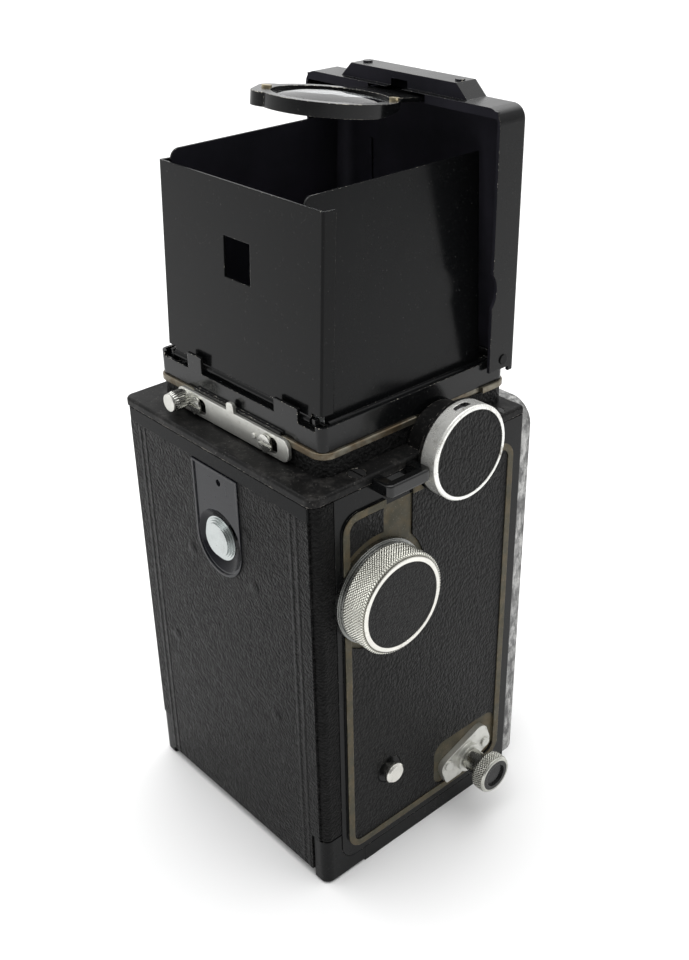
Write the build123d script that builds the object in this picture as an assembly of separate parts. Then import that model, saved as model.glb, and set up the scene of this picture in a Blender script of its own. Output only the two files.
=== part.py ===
from build123d import *
import os
from math import cos, radians, sin, tan

# Twin lens reflex camera for 120 roll film, hood open, door closed.
# Frame: X across (minus X is the winding side), minus Y is the lens side, Z up.
# Origin: mouth of the tripod socket, in the middle of the base. Millimetres.

# ---- driving dimensions ----
HALF_W = 38.0            # half of the body width
REAR_Y = 35.0            # outer face of the back door
FRONT_Y = -35.0          # front face of the casting
BODY_TOP = 118.0         # joint line under the top plate
PLATE_TOP = 120.1        # upper face of the top plate
DOOR_WRAP_Y = 29.0       # front edge of the door's side flanges
WALL = 2.0               # wall of the casting
SIDE_PLATE = 1.2         # thickness of the side plates
TAKING_Z = 47.0          # height of the taking lens
VIEWING_Z = 91.0         # height of the viewing lens
KNOB_Y, KNOB_Z = 15.7, 88.0          # winding knob and take-up spool axis
KNOB_R = 13.2
KNOB_FACE_X = -47.1       # outer end of the winding knob
COUNTER_Y, COUNTER_Z = -8.8, 118.7   # frame counter axis
COUNTER_R = 12.2
PULL_Y, PULL_Z = -17.2, 15.7         # supply spool axis
STUD_Y, STUD_Z = 12.0, 28.2
SPOOL_R = 12.6
HINGE_Y, HINGE_Z = 31.5, 4.5         # back door hinge
COLLAR_X = 31.6
COLLAR_REAR, COLLAR_FRONT = 26.2, -33.6
SKIRT_X = 31.9
SKIRT_REAR, SKIRT_FRONT = 26.6, -34.0
FLAP_LEFT, FLAP_RIGHT = -17.9, 16.2  # ends of the flap behind the latch
SHEET = 0.6                          # hood wall sheet
LID_X = 33.6
LID_FRONT, LID_REAR = -35.5, -26.5
LID_LOW, LID_TOP = 129.0, 194.0
LID_PIN_Y, LID_PIN_Z = -31.4, 132.6
WALL_HINGE_X = 28.4
RIGHT_HINGE_Z, LEFT_HINGE_Z = 131.0, 132.3
WALL_TOP = 181.8
RIGHT_LEAN = 7.7                     # degrees inward
LEFT_LEAN = 1.4
LEFT_WALL_TOP = 183.3
BACK_HINGE_Y, BACK_HINGE_Z = 24.7, 132.6
BACK_LEAN = 2.7                      # degrees forward
BACK_TOP = 180.8
MAG_HINGE_Y, MAG_HINGE_Z = -30.8, 192.1
MAG_LEAN = 7.4                       # degrees, free side up
BAR_Z = 123.6                        # height of the hood latch
FIT = 0.05                           # running clearance on radius

os.makedirs("parts", exist_ok=True)


def save(name, *shapes):
    """Write one node; several separate solids become one compound."""
    shape = shapes[0] if len(shapes) == 1 else Compound(children=list(shapes))
    export_step(shape, "parts/" + name + ".step")


def block(x0, x1, y0, y1, z0, z1):
    centre = Pos((x0 + x1) / 2, (y0 + y1) / 2, (z0 + z1) / 2)
    return centre * Box(abs(x1 - x0), abs(y1 - y0), abs(z1 - z0))


def rod_x(r, x0, x1, y, z):
    return Pos((x0 + x1) / 2, y, z) * Rot(0, 90, 0) * Cylinder(r, abs(x1 - x0))


def rod_y(r, y0, y1, x, z):
    return Pos(x, (y0 + y1) / 2, z) * Rot(90, 0, 0) * Cylinder(r, abs(y1 - y0))


def rod_z(r, z0, z1, x, y):
    return Pos(x, y, (z0 + z1) / 2) * Cylinder(r, abs(z1 - z0))


def round_x(shape, r):
    return fillet(shape.edges().filter_by(Axis.X), r)


def round_y(shape, r):
    return fillet(shape.edges().filter_by(Axis.Y), r)


def round_z(shape, r):
    return fillet(shape.edges().filter_by(Axis.Z), r)


def mirrored(shape):
    return mirror(shape, about=Plane.YZ)


def tube_x(r_out, r_in, x0, x1, y, z):
    return rod_x(r_out, x0, x1, y, z) - rod_x(r_in, x0 - 1, x1 + 1, y, z)


def tube_y(r_out, r_in, y0, y1, x, z):
    return rod_y(r_out, y0, y1, x, z) - rod_y(r_in, y0 - 1, y1 + 1, x, z)


def sheet_yz(points, x0, x1):
    """A flat plate with its outline in the YZ plane, from x0 to x1."""
    face = make_face(Polyline(*[(0, y, z) for y, z in points], close=True))
    return Pos(x0, 0, 0) * extrude(face, amount=x1 - x0, dir=(1, 0, 0))


def sheet_xz(points, y0, y1):
    """A flat plate with its outline in the XZ plane, from y0 to y1."""
    face = make_face(Polyline(*[(x, 0, z) for x, z in points], close=True))
    return Pos(0, y0, 0) * extrude(face, amount=y1 - y0, dir=(0, 1, 0))


def lean_about_y(shape, x, z, degrees):
    """Turn a shape about a line along Y through (x, z)."""
    return Pos(x, 0, z) * Rot(0, degrees, 0) * Pos(-x, 0, -z) * shape


def lean_about_x(shape, y, z, degrees):
    """Turn a shape about a line along X through (y, z)."""
    return Pos(0, y, z) * Rot(degrees, 0, 0) * Pos(0, -y, -z) * shape


# ---- body casting: an open-backed tub with a plinth ----
inner_x = HALF_W - SIDE_PLATE - WALL
shell_x = HALF_W - SIDE_PLATE
casting = block(-shell_x, shell_x, FRONT_Y, DOOR_WRAP_Y, 0, BODY_TOP)
casting -= block(-inner_x, inner_x, FRONT_Y + WALL, DOOR_WRAP_Y + 1, 2.2, BODY_TOP + 1)
plinth = block(-HALF_W, HALF_W, FRONT_Y, 20.8, 0, 5.0)
plinth -= block(-inner_x, inner_x, FRONT_Y + WALL, DOOR_WRAP_Y + 1, 2.2, 6.0)
casting += plinth
casting -= block(-inner_x, inner_x, 28.4, DOOR_WRAP_Y + 1, -1, 2.3)
casting -= rod_y(12.0, FRONT_Y - 1, FRONT_Y + WALL + 1, 0, TAKING_Z)
casting -= rod_y(15.0, FRONT_Y - 1, FRONT_Y + WALL + 1, 0, VIEWING_Z)
casting -= rod_z(5.0, -1, 3, 0, 0)
casting -= rod_x(2.5 + FIT, -HALF_W, -inner_x + 1, KNOB_Y, KNOB_Z)
casting -= rod_x(2.2 + FIT, -HALF_W, -inner_x + 1, PULL_Y, PULL_Z)
casting -= rod_x(1.6 + FIT, -HALF_W, -inner_x + 1, STUD_Y, STUD_Z)
ROD_SPOTS = [(-27, 108), (27, 108), (-27, 24), (27, 24)]
for x, z in ROD_SPOTS:
    casting -= rod_y(2.0 + FIT, FRONT_Y - 1, FRONT_Y + WALL + 1, x, z)
SPOOL_PIN_R = 2.0
casting -= rod_x(SPOOL_PIN_R + 0.02, inner_x - 1, shell_x + 1, KNOB_Y, KNOB_Z)
casting -= rod_x(SPOOL_PIN_R + 0.02, inner_x - 1, shell_x + 1, PULL_Y, PULL_Z)
save("body_casting", casting)

# Brass tripod bush, 1/4 inch thread, flush with the base.
bush = rod_z(5.0, 0, 6.0, 0, 0) + rod_z(7.0, 2.2, 4.2, 0, 0)
bush -= rod_z(2.55, -1, 5.4, 0, 0)
save("tripod_bush", bush)

# ---- corner covers at the foot of the door, holding its hinge pin ----
cover = block(33.3, HALF_W, DOOR_WRAP_Y + 0.1, 34.6, 0, 15.0)
cover = fillet([e for e in cover.edges().filter_by(Axis.Z)
                if e.center().X > 37 and e.center().Y > 34], 2.6)
corner_round = block(36.9, HALF_W, 20.9, DOOR_WRAP_Y + 0.1, 0, 9.9)
plate_corner = round_x(block(36, 39, -20, 28.9, 5.1, 60), 5.0)
corner_round -= plate_corner
corner_round -= block(36, 39, 20, 24.0, 5.05, 20)
cover += corner_round
foot = [e for e in cover.edges() if e.center().Z < 0.01 and e.center().X > 37.2]
cover = fillet(foot, 1.0)
cover -= rod_x(1.25, 30, 37.0, HINGE_Y, HINGE_Z)
save("corner_covers", cover, mirrored(cover))

# ---- side plates with their raised bead ----
BEAD_OUT = (-31.4, 26.7, 8.0, 112.4)   # y0, y1, z0, z1 of the bead's outer outline
BEAD_W = 1.9


def side_plate(right):
    plate = block(shell_x, HALF_W, FRONT_Y, 28.75, 5.2, BODY_TOP - 0.2)
    low_rear = plate.edges().filter_by(Axis.X).sort_by(SortBy.DISTANCE)
    corner = [e for e in low_rear if e.center().Y > 20 and e.center().Z < 10]
    plate = fillet(corner, 5.0)
    y0, y1, z0, z1 = BEAD_OUT
    bead = round_x(block(HALF_W, HALF_W + 0.7, y0, y1, z0, z1), 5.0)
    hollow = block(HALF_W - 1, HALF_W + 2, y0 + BEAD_W, y1 - BEAD_W, z0 + BEAD_W, z1 - BEAD_W)
    bead -= round_x(hollow, 2.8)
    if right:
        bead -= rod_x(14.0, 37, 40, KNOB_Y, KNOB_Z)
        bead -= rod_x(12.5, 37, 40, COUNTER_Y, COUNTER_Z)
        bead -= block(37, 40, 4.4, 13.2, 103, 121)
    plate += bead
    if right:
        plate += rod_x(3.9, HALF_W - 0.5, HALF_W + 0.4, STUD_Y, STUD_Z)
        plate -= rod_x(2.5 + FIT, 30, 40, KNOB_Y, KNOB_Z)
        plate -= rod_x(2.2 + FIT, 30, 40, PULL_Y, PULL_Z)
        plate -= rod_x(1.6 + FIT, 30, 40, STUD_Y, STUD_Z)
        return mirrored(plate)
    return plate


save("right_side_plate", side_plate(True))
save("left_side_plate", side_plate(False))

# ---- leatherette on the sides ----
KNOB_CLEAR_R = 15.8   # bare ring left round the winding knob
y0, y1, z0, z1 = BEAD_OUT
inset = (y0 + BEAD_W + 0.1, y1 - BEAD_W - 0.1, z0 + BEAD_W + 0.1, z1 - BEAD_W - 0.1)
panel = round_x(block(HALF_W, HALF_W + 0.45, *inset), 2.7)
save("left_leather", panel)
right_panel = mirrored(panel)
right_panel -= rod_x(KNOB_CLEAR_R, -40, -37, KNOB_Y, KNOB_Z)
right_panel -= rod_x(12.5, -40, -37, COUNTER_Y, COUNTER_Z)
right_panel -= block(-40, -37, 4.3, 30, KNOB_Z + 2, 120)
right_panel -= rod_x(4.1, -40, -37, STUD_Y, STUD_Z)
right_panel -= round_x(block(-40, -37, PULL_Y - 12.5, PULL_Y + 12.0, PULL_Z - 5.5, PULL_Z + 9.5), 4.0)
inset_piece = sheet_yz(
    [(24.6, 107.6), (24.1, 109.2), (22.3, 110.2), (13.9, 110.2), (13.9, 98.0), (24.6, 98.0)],
    -HALF_W - 0.45, -HALF_W)
inset_piece -= rod_x(KNOB_CLEAR_R, -40, -37, KNOB_Y, KNOB_Z)
counter_skin = rod_x(11.05, -44.45, -43.9, COUNTER_Y, COUNTER_Z)
save("right_leather", right_panel, inset_piece, counter_skin)

# ---- top plate ----
top_plate = block(-HALF_W, HALF_W, FRONT_Y, REAR_Y + 0.2, BODY_TOP, PLATE_TOP)
top_plate = fillet(top_plate.edges().filter_by(Axis.Z).sort_by(Axis.Y)[-2:], 2.5)
rim = top_plate.faces().sort_by(Axis.Z)[-1].edges()
top_plate = fillet([e for e in rim if e.center().Y > FRONT_Y + 0.5], 0.8)
top_plate -= block(-27.5, 27.5, -30.5, 22.0, 117, 121)
SCREW_SPOTS = [(-34.8, 18.9), (34.8, 18.9), (34.8, -28.0), (-35.0, -28.0)]
for x, y in SCREW_SPOTS:
    top_plate -= rod_z(2.25, PLATE_TOP - 1.2, 121, x, y)
screws = []
for x, y in SCREW_SPOTS:
    screw = rod_z(2.15, PLATE_TOP - 1.2, PLATE_TOP - 0.05, x, y)
    screw -= block(x - 2.3, x + 2.3, y - 0.25, y + 0.25, PLATE_TOP - 0.45, 121)
    screws.append(screw)
# The counter's black hub stands on the plate's right edge, with a disc behind the drum.
boss = rod_x(COUNTER_R, -40.0, -39.1, COUNTER_Y, COUNTER_Z)
boss += rod_x(9.8, -39.2, -32.95, COUNTER_Y, COUNTER_Z)
boss -= block(-HALF_W, -30, -30, 20, 90, PLATE_TOP)
save("top_plate", top_plate + boss)

# ---- collar that carries the focusing screen ----


def ring(x, y_rear, y_front, thick, z0, z1, r):
    outer = round_z(block(-x, x, y_front, y_rear, z0, z1), r)
    inner = block(-x + thick, x - thick, y_front + thick, y_rear - thick, z0 - 1, z1 + 1)
    return outer - round_z(inner, max(r - thick, 0.4))


collar = ring(COLLAR_X, COLLAR_REAR, COLLAR_FRONT, 1.6, PLATE_TOP, 126.4, 2.6)
collar += ring(COLLAR_X - 0.6, COLLAR_REAR - 0.6, COLLAR_FRONT + 0.6, 1.0, 126.3, 128.8, 2.0)
flange = block(-30.4, 30.4, COLLAR_FRONT + 1.2, COLLAR_REAR - 1.2, PLATE_TOP, 121.3)
collar += flange - block(-27.0, 27.0, -30.0, 21.8, 119, 123)
for x in (-14.1, 14.1):
    collar -= rod_y(1.0, 24.4, 27, x, BAR_Z)
save("screen_collar", collar)
wrap = ring(COLLAR_X + 0.6, COLLAR_REAR + 0.6, COLLAR_FRONT - 0.6, 0.6, PLATE_TOP + 0.05, 124.9, 3.2)
for x in (-14.1, 14.1):
    wrap -= rod_y(1.5, 25, 28, x, BAR_Z)
save("collar_leather", wrap)
bead_ring = ring(COLLAR_X + 1.2, COLLAR_REAR + 1.2, COLLAR_FRONT - 1.2, 1.2, 124.9, 126.4, 3.8)
bead_ring = fillet(bead_ring.faces().sort_by(Axis.Z)[-1].outer_wire().edges(), 0.4)
bead_ring -= block(FLAP_LEFT - 0.1, FLAP_RIGHT + 0.1, 25, 28, 124, 127)
bead_ring -= block(-33.5, -31.7, -25.4, -2.3, 124, 127)
save("collar_bead", bead_ring)

save("focusing_screen", round_z(block(-29.8, 29.8, -31.8, 24.4, 121.35, 122.9), 1.5))

# ---- mirror at 45 degrees under the screen, and its bracket ----
mirror_mid_y = -3.25
mirror_mid_z = mirror_mid_y + 94.5


def slanted(width, length, near, far):
    """A plate behind the reflecting plane; near and far are depths behind it."""
    depth = (near + far) / 2
    place = Pos(0, mirror_mid_y + depth * sin(radians(45)), mirror_mid_z - depth * cos(radians(45)))
    return place * Rot(45, 0, 0) * Box(width, length, far - near)


save("mirror", slanted(54, 75, 0, 1.6))
save("mirror_bracket", slanted(2 * inner_x, 68, 1.6, 2.6))

# ---- light chamber behind the taking lens ----


def tapered(rear, front, y_rear, y_front):
    faces = []
    for (w, h), y in ((rear, y_rear), (front, y_front)):
        plane = Plane(origin=(0, y, TAKING_Z), x_dir=(1, 0, 0), z_dir=(0, -1, 0))
        faces.append(plane * Rectangle(w, h))
    return loft(faces)


chamber = tapered((62.0, 54.4), (33.0, 26.0), 25.6, FRONT_Y + WALL)
chamber -= tapered((60.0, 52.4), (31.0, 24.0), 25.7, FRONT_Y + WALL - 0.1)

gate = block(-inner_x + 0.1, inner_x - 0.1, 25.6, 27.0, 19.0, 74.3)
gate -= block(-28, 28, 25, 28, TAKING_Z - 26.7, TAKING_Z + 26.7)
gate += block(-33.4, -32.4, 26.9, 27.6, 19.0, 74.3)
gate += block(32.4, 33.4, 26.9, 27.6, 19.0, 74.3)
save("light_chamber", chamber + gate)

# ---- film rollers, each turning on its own fixed pins ----
ROLLER_Y = 26.3
for name, z in (("film_roller_top", 76.9), ("film_roller_bottom", 16.3)):
    roller = rod_x(2.1, -31.0, 31.0, ROLLER_Y, z)
    roller -= rod_x(0.9 + FIT, -31.1, -27.0, ROLLER_Y, z)
    roller -= rod_x(0.9 + FIT, 27.0, 31.1, ROLLER_Y, z)
    save(name, roller)
pins = []
for z in (76.9, 16.3):
    for side in (-1, 1):
        pins.append(rod_x(0.9, side * 28.0, side * inner_x, ROLLER_Y, z))

# ---- film spools ----


def spool(y, z):
    body = rod_x(5.6, -31.4, 31.4, y, z)
    body += rod_x(SPOOL_R, -32.3, -31.2, y, z) + rod_x(SPOOL_R, 31.2, 32.3, y, z)
    body -= rod_x(SPOOL_PIN_R + 0.08, -33, -26, y, z)
    body -= rod_x(SPOOL_PIN_R + 0.08, 26, 33, y, z)
    body -= block(-20, 20, y - 6, y + 6, z - 0.5, z + 0.5)
    return body


save("takeup_spool", spool(KNOB_Y, KNOB_Z))
save("supply_spool", spool(PULL_Y, PULL_Z))
far_pins = []
for y, z in ((KNOB_Y, KNOB_Z), (PULL_Y, PULL_Z)):
    pin = rod_x(SPOOL_PIN_R, 28.0, shell_x, y, z)
    pin += rod_x(3.4, 32.6, inner_x, y, z)
    far_pins.append(pin)
hinge_pin = rod_x(1.25, -36.9, 36.9, HINGE_Y, HINGE_Z)
save("fixed_pins", *pins, *far_pins, hinge_pin)

# ---- winding knob on the right-hand side ----
knob = rod_x(KNOB_R, KNOB_FACE_X, -40.3, KNOB_Y, KNOB_Z)
knob = chamfer(knob.faces().sort_by(Axis.X)[0].edges(), 0.9)
knob -= rod_x(11.3, -48, KNOB_FACE_X + 0.6, KNOB_Y, KNOB_Z)
knob += rod_x(2.5, -40.4, -33.6, KNOB_Y, KNOB_Z)
knob += rod_x(SPOOL_PIN_R, -33.7, -28.0, KNOB_Y, KNOB_Z)
save("winding_knob", knob)
save("winding_knob_leather", rod_x(11.25, KNOB_FACE_X + 0.15, KNOB_FACE_X + 0.6, KNOB_Y, KNOB_Z))
base_ring = rod_x(13.9, -39.3, -HALF_W, KNOB_Y, KNOB_Z) + rod_x(13.3, -40.2, -39.2, KNOB_Y, KNOB_Z)
base_ring -= rod_x(2.5 + FIT, -41, -37, KNOB_Y, KNOB_Z)
save("knob_base_ring", base_ring)

# ---- frame counter ----
housing = rod_x(COUNTER_R, -44.6, -40.0, COUNTER_Y, COUNTER_Z)
housing = chamfer(housing.faces().sort_by(Axis.X)[0].edges(), 0.35)
housing -= rod_x(11.1, -45, -43.9, COUNTER_Y, COUNTER_Z)
housing -= rod_x(11.2, -42.9, -38, COUNTER_Y, COUNTER_Z)
window = block(-43.1, -41.2, COUNTER_Y - 1.2, COUNTER_Y + 3.4, COUNTER_Z + 8, COUNTER_Z + 14)
housing -= round_z(window, 0.6)
housing += rod_x(1.5, -43.2, -40.0, COUNTER_Y, COUNTER_Z)
save("counter_housing", housing)
dial = rod_x(10.9, -42.7, -40.3, COUNTER_Y, COUNTER_Z)
dial -= rod_x(1.5 + FIT, -43, -40, COUNTER_Y, COUNTER_Z)
save("counter_dial", dial)

# ---- strap lugs ----
lug = block(HALF_W, 44.0, 3.6, 17.2, 116.0, 119.3)
lug = fillet([e for e in lug.edges().filter_by(Axis.Z) if e.center().X > 40], 1.5)
lug -= block(HALF_W - 1, 41.9, 6.4, 14.6, 115, 121)
lug = fillet([e for e in lug.edges() if e.center().X > 43.0 and abs(e.center().Z - 117.65) > 1], 0.6)
save("strap_lugs", lug, mirrored(lug))

# ---- lock stud ----
stud = rod_x(3.0, -41.2, -39.8, STUD_Y, STUD_Z)
stud = chamfer(stud.faces().sort_by(Axis.X)[0].edges(), 0.5)
stud += rod_x(1.6, -40.0, -33.2, STUD_Y, STUD_Z)
save("lock_stud", stud)

# ---- spool pull knob ----
FLANGE_TILT = 20.0
flange = Pos(-38.9, PULL_Y, PULL_Z + 0.6) * Box(1.8, 19.0, 9.4)
flange = round_x(flange, 3.0)
flange = Pos(0, PULL_Y, PULL_Z) * Rot(-FLANGE_TILT, 0, 0) * Pos(0, -PULL_Y, -PULL_Z) * flange
flange += rod_x(4.3, -41.2, -39.5, PULL_Y, PULL_Z)
flange -= rod_x(2.2 + FIT, -42, -37, PULL_Y, PULL_Z)
flange -= block(-41, -37, -40, 10, 5, 10.35)
for dy in (-7.4, 7.4):
    flange += rod_x(1.5, -40.3, -39.7, PULL_Y + dy, PULL_Z + 0.8)
save("spool_flange", flange)
pull = rod_x(3.2, -47.2, -41.3, PULL_Y, PULL_Z)
pull += rod_x(5.5, -50.8, -47.0, PULL_Y, PULL_Z)
pull = chamfer(pull.faces().sort_by(Axis.X)[0].edges(), 0.4)
pull -= rod_x(3.4, -51.5, -50.2, PULL_Y, PULL_Z)
pull += rod_x(2.2, -41.4, -33.4, PULL_Y, PULL_Z)
pull += rod_x(SPOOL_PIN_R, -33.5, -28.5, PULL_Y, PULL_Z)
save("spool_pull_knob", pull)

# ---- back door: a pressed tray hinged at the foot ----
door = block(-HALF_W, HALF_W, DOOR_WRAP_Y, 34.4, 15.5, BODY_TOP - 0.3)
door = fillet([e for e in door.edges().filter_by(Axis.Z) if e.center().Y > 30], 2.2)
door -= block(-36.95, 36.95, 28, 33.2, 15, BODY_TOP - 1.6)
lower = block(-33.0, 33.0, 33.2, 34.4, 3.0, 15.6)
lower += rod_x(2.6, -33.0, 33.0, HINGE_Y, HINGE_Z)
lower += block(-33.0, 33.0, HINGE_Y, 34.1, HINGE_Z, 9.0) - block(-34, 34, 28, 33.2, HINGE_Z + 2.4, 12)
door += lower
door -= rod_x(1.25 + FIT, -34, 34, HINGE_Y, HINGE_Z)
ESC_X, ESC_Z = -0.8, 92.3            # centre of the escutcheon's round end
ESC_R = 9.2
DISH_X, DISH_Z = -1.1, 93.2          # centre of its dish
DISH_R = 12.0
DISH_Y = 43.3                        # centre of the dish's sphere
BUTTON_X, BUTTON_Z = -1.3, 94.0
door -= rod_y(8.9, 32, 36, DISH_X, DISH_Z)
save("back_door", door)

cover_y0, cover_y1 = 34.4, REAR_Y
leather = block(-35.9, 35.9, cover_y0, cover_y1, 15.6, 113.6)
leather += block(-32.8, 32.8, cover_y0, cover_y1, 3.1, 15.7)
escut_outline = rod_y(ESC_R + 0.1, 33, 37, ESC_X, ESC_Z)
escut_outline += block(ESC_X - ESC_R - 0.1, ESC_X + ESC_R + 0.1, 33, 37, ESC_Z, 120)
leather -= escut_outline
save("door_leather", leather)



def tongue(r, y0, y1, top):
    """The escutcheon's outline: a strip with a round lower end."""
    shape = rod_y(r, y0, y1, ESC_X, ESC_Z)
    return shape + block(ESC_X - r, ESC_X + r, y0, y1, ESC_Z, top)


escutcheon = tongue(ESC_R, cover_y0, REAR_Y + 0.3, 113.5)
escutcheon -= tongue(ESC_R - 0.7, REAR_Y, 37, 112.9)
cup = (Pos(DISH_X, DISH_Y, DISH_Z) * Sphere(DISH_R + 0.7)) & rod_y(8.8, 30, cover_y0 + 0.1, DISH_X, DISH_Z)
escutcheon += cup
escutcheon -= Pos(DISH_X, DISH_Y, DISH_Z) * Sphere(DISH_R)
escutcheon -= rod_y(2.0 + FIT, 29, 37, BUTTON_X, BUTTON_Z)
escutcheon -= rod_y(0.9, cover_y0 + 0.1, 37, -2.2, 110.3)
band = block(-HALF_W + 2.0, HALF_W - 2.0, cover_y0, REAR_Y, 113.7, BODY_TOP - 0.4)
band = fillet([e for e in band.edges().filter_by(Axis.Z) if e.center().Y > 34.6], 0.3)
save("door_escutcheon", escutcheon, band)

# Stepped push button that frees the door, and its hook under the top plate.
button = rod_y(2.0, 29.9, 35.0, BUTTON_X, BUTTON_Z)
for r, y in ((6.0, 35.0), (5.5, 35.4), (5.0, 35.8), (4.5, 36.2)):
    button += rod_y(r, 34.5, y, BUTTON_X, BUTTON_Z)
button += rod_y(3.0, 29.4, 30.0, BUTTON_X, BUTTON_Z)
save("back_latch_button", button)
hook = block(-5, 5, 31.8, 33.2, 103.2, 114.6) + block(-5, 5, 30.6, 33.2, 113.6, 114.6)

plate = block(-29.5, 29.5, 28.3, 29.3, 19.4, 73.8)
save("pressure_plate", round_y(plate, 2.0))
springs = []
for x in (-20, 20):
    for z in (32, 61):
        springs.append(tube_y(3.2, 2.6, 29.3, 33.2, x, z))
save("door_springs", hook, *springs)

# ---- hood base: skirt round the collar, with rear tabs and hinge lugs ----
skirt = ring(SKIRT_X, SKIRT_REAR, SKIRT_FRONT, 0.8, 126.45, 131.3, 2.0)
sides = ring(SKIRT_X, SKIRT_REAR, SKIRT_FRONT, 0.8, 131.2, 132.6, 2.0)
sides -= block(-29.6, 29.6, 20, 30, 130, 134)
skirt += sides
ledge = block(-31.3, 31.3, SKIRT_FRONT + 0.6, SKIRT_REAR - 0.6, 128.85, 129.7)
skirt += ledge - block(-27.0, 27.0, -30.0, 22.0, 128, 131)
skirt += block(FLAP_LEFT, FLAP_RIGHT, COLLAR_REAR + 0.05, 27.4, 124.95, 127.2)
skirt += block(13.6, 19.2, SKIRT_REAR - 0.8, SKIRT_REAR, 131.0, 135.6)
skirt += block(-23.5, -14.9, SKIRT_REAR - 0.8, SKIRT_REAR, 131.0, 134.9)
for side in (-1, 1):
    hinge_z = LEFT_HINGE_Z if side > 0 else RIGHT_HINGE_Z
    for y in (-31.6, 22.85):
        skirt += block(side * 27.5, side * 29.3, y, y + 0.9, 129.5, hinge_z + 0.9)
    skirt += block(side * 27.3, side * 28.3, 24.0, 25.4, 129.5, BACK_HINGE_Z + 0.8)
    skirt -= rod_x(1.0, side * 30.0, side * 33.0, LID_PIN_Y, LID_PIN_Z - 2.0)
skirt -= rod_y(0.45, -33, 24.3, -WALL_HINGE_X, RIGHT_HINGE_Z)
skirt -= rod_y(0.45, -33, 24.3, WALL_HINGE_X, LEFT_HINGE_Z)
skirt -= rod_x(0.45, -28.4, 28.4, BACK_HINGE_Y, BACK_HINGE_Z)
save("hood_base", skirt)
hood_rods = [rod_y(0.45, -31.6, 23.75, -WALL_HINGE_X, RIGHT_HINGE_Z),
             rod_y(0.45, -31.6, 23.75, WALL_HINGE_X, LEFT_HINGE_Z),
             rod_x(0.45, -28.3, 28.3, BACK_HINGE_Y, BACK_HINGE_Z)]

# ---- hood walls ----


def side_wall(hinge_x, hinge_z, lean, rear, front_low, front_top, height):
    """A sheet standing on its rolled knuckle; positive lean turns the top to plus X."""
    half = SHEET / 2
    outline = [(rear, hinge_z), (front_low, hinge_z), (front_low, hinge_z + 8),
               (front_top, hinge_z + height), (rear - 1.2, hinge_z + height)]
    sheet = sheet_yz(outline, hinge_x - half, hinge_x + half)
    rear_top = [e for e in sheet.edges().filter_by(Axis.X)
                if e.center().Y > 15 and e.center().Z > hinge_z + 40]
    sheet = fillet(rear_top, 2.5)
    sheet += rod_y(0.95, front_low + 0.5, rear - 0.5, hinge_x, hinge_z)
    sheet -= rod_y(0.45 + FIT, -40, 40, hinge_x, hinge_z)
    return lean_about_y(sheet, hinge_x, hinge_z, lean)


right_height = (WALL_TOP - RIGHT_HINGE_Z) / cos(radians(RIGHT_LEAN))
left_height = (LEFT_WALL_TOP - LEFT_HINGE_Z) / cos(radians(LEFT_LEAN))
save("hood_right_wall",
     side_wall(-WALL_HINGE_X, RIGHT_HINGE_Z, RIGHT_LEAN, 22.3, -28.6, -32.8, right_height))
save("hood_left_wall",
     side_wall(WALL_HINGE_X, LEFT_HINGE_Z, -LEFT_LEAN, 22.3, -30.2, -31.4, left_height))

back_height = (BACK_TOP - BACK_HINGE_Z) / cos(radians(BACK_LEAN))
half = SHEET / 2
back = block(-29.9, 29.9, BACK_HINGE_Y - half, BACK_HINGE_Y + half, 134.4, BACK_HINGE_Z + back_height)
back += block(-26.6, 26.6, BACK_HINGE_Y - half, BACK_HINGE_Y + half, BACK_HINGE_Z, 134.5)
for side in (-1, 1):
    back += block(side * 29.3, side * 29.9, BACK_HINGE_Y - 3.4, BACK_HINGE_Y, 134.4,
                  BACK_HINGE_Z + back_height)
back = fillet([e for e in back.edges().filter_by(Axis.Z)
               if abs(e.center().X) > 29.8 and e.center().Y > BACK_HINGE_Y], 0.55)
back -= block(-4.9, 4.9, BACK_HINGE_Y - 2, BACK_HINGE_Y + 2, 158.3, 168.2)
back += rod_x(0.95, -26.6, 26.6, BACK_HINGE_Y, BACK_HINGE_Z)
back -= rod_x(0.45 + FIT, -30, 30, BACK_HINGE_Y, BACK_HINGE_Z)
save("hood_back_wall", lean_about_x(back, BACK_HINGE_Y, BACK_HINGE_Z, BACK_LEAN))

# ---- hood lid: a pressed tray with a raised housing for the magnifier hinge ----
lid = block(-LID_X, LID_X, LID_FRONT, LID_REAR, LID_LOW, LID_TOP)
lid = fillet([e for e in lid.edges().filter_by(Axis.Y) if e.center().Z > 190], 3.5)
BUMP_REAR = -28.4
bump = sheet_xz([(-22.0, 190.0), (-22.0, 193.6), (-18.0, 197.4), (18.0, 197.4),
                 (22.0, 193.6), (22.0, 190.0)], LID_FRONT, BUMP_REAR)
lid += bump
lid = fillet([e for e in lid.edges() if e.center().Y < LID_FRONT + 0.01
              and e.center().Z > LID_LOW + 1], 0.9)
hollow = block(-LID_X + 0.8, LID_X - 0.8, LID_FRONT + 0.8, -20, LID_LOW - 1, LID_TOP - 0.8)
hollow = fillet([e for e in hollow.edges().filter_by(Axis.Y) if e.center().Z > 190], 2.7)
lid -= hollow
lid -= sheet_xz([(-21.2, 190.0), (-21.2, 193.3), (-17.8, 196.7), (17.8, 196.7),
                 (21.2, 193.3), (21.2, 190.0)], LID_FRONT + 0.8, BUMP_REAR - 0.6)
lid -= block(-2.0, 3.6, -30, -25, 193.9, 195.6)
lid += block(-32.8, 32.8, LID_REAR - 0.6, LID_REAR, 191.8, 193.4)
lid -= block(-9.8, 9.8, -33.0, -25, 190, 193.9)
for x, y in ((15.6, -31.9), (-16.5, -31.3)):
    lid += rod_z(1.2, 197.3, 197.8, x, y)
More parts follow.
